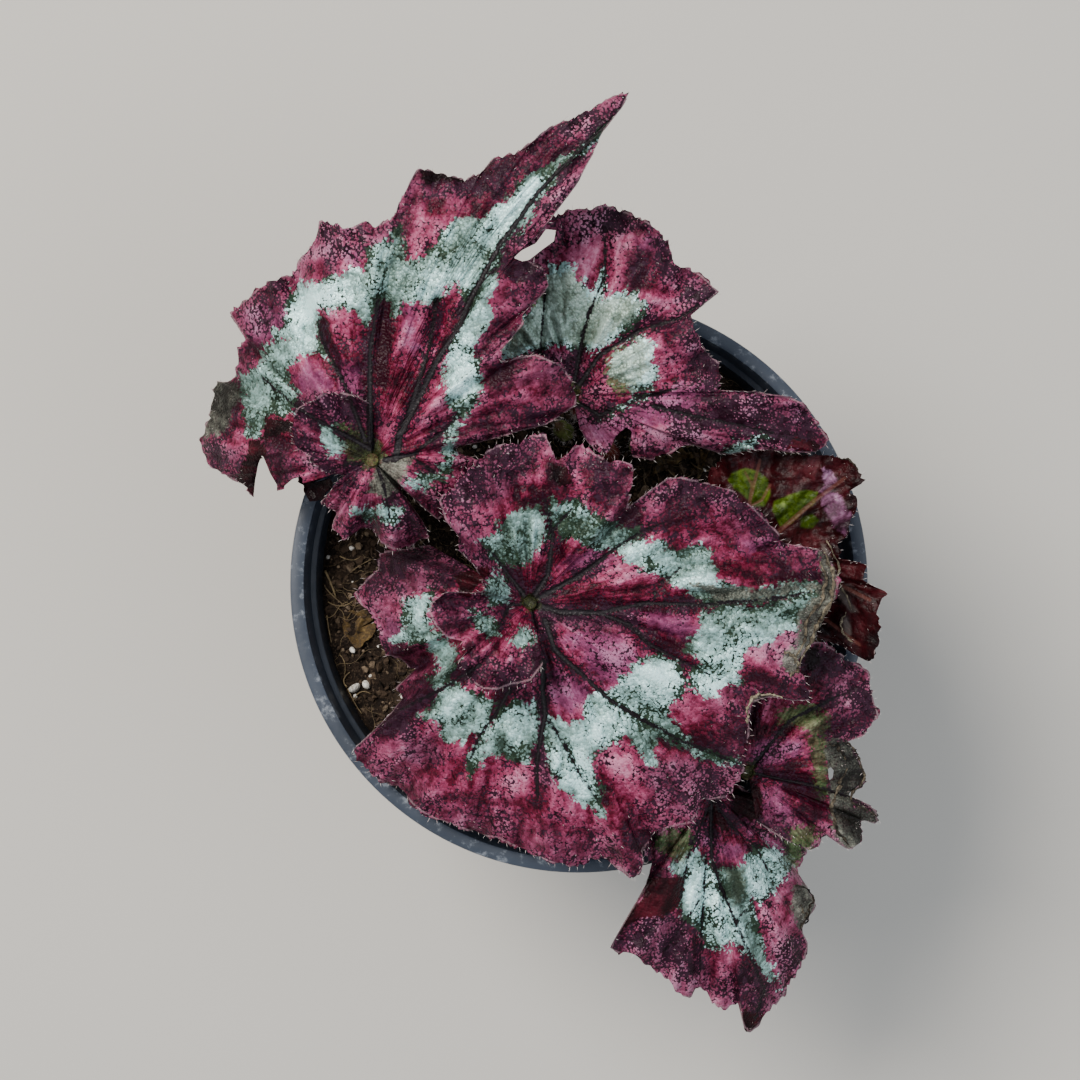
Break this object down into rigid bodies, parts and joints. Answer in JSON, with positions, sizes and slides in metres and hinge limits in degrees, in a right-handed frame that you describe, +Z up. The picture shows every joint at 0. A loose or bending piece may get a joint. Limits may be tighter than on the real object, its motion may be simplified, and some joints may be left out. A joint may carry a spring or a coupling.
{
  "type": "potted rex begonia",
  "caption": "Rex begonia house plant with large spiral leaves, red and silver banded, growing in a black nursery pot of soil.",
  "frame": {"origin": "centre of the pot's underside", "axes": "+Z up along the pot's axis, +Y towards the leaf with the long pointed tip, the top of the picture"},
  "size_m": [0.1786, 0.2433, 0.1869],
  "materials": {
    "pot_plastic": "black injection-moulded polypropylene, slightly glossy and dusty",
    "soil": "dark brown fibrous peat with white perlite grains",
    "leaf": "puckered leaf, raspberry red with a silver band, dark veins and a dark stippled margin",
    "leaf_underside": "dark maroon, satin, with raised veins",
    "stalk": "fleshy red-brown stalk with short pale hairs",
    "rhizome": "knobbly brown creeping stem with old leaf scars",
    "young_leaf": "olive green rolled young leaf, downy"
  },
  "bodies": {
    "root": {"pot": "pot_plastic", "soil": "soil", "rhizome": "rhizome", "stalk_front": "stalk", "stalk_back_left": "stalk", "stalk_back_right": "stalk", "stalk_turned": "stalk", "stalk_right": "stalk", "stalk_low_front": "stalk", "young_leaf_1": "young_leaf", "young_leaf_2": "young_leaf", "blade_front": "leaf", "blade_back_left": "leaf", "blade_back_right": "leaf", "blade_turned": "leaf_underside", "blade_right": "leaf", "blade_low_front": "leaf"}
  },
  "joints": []
}
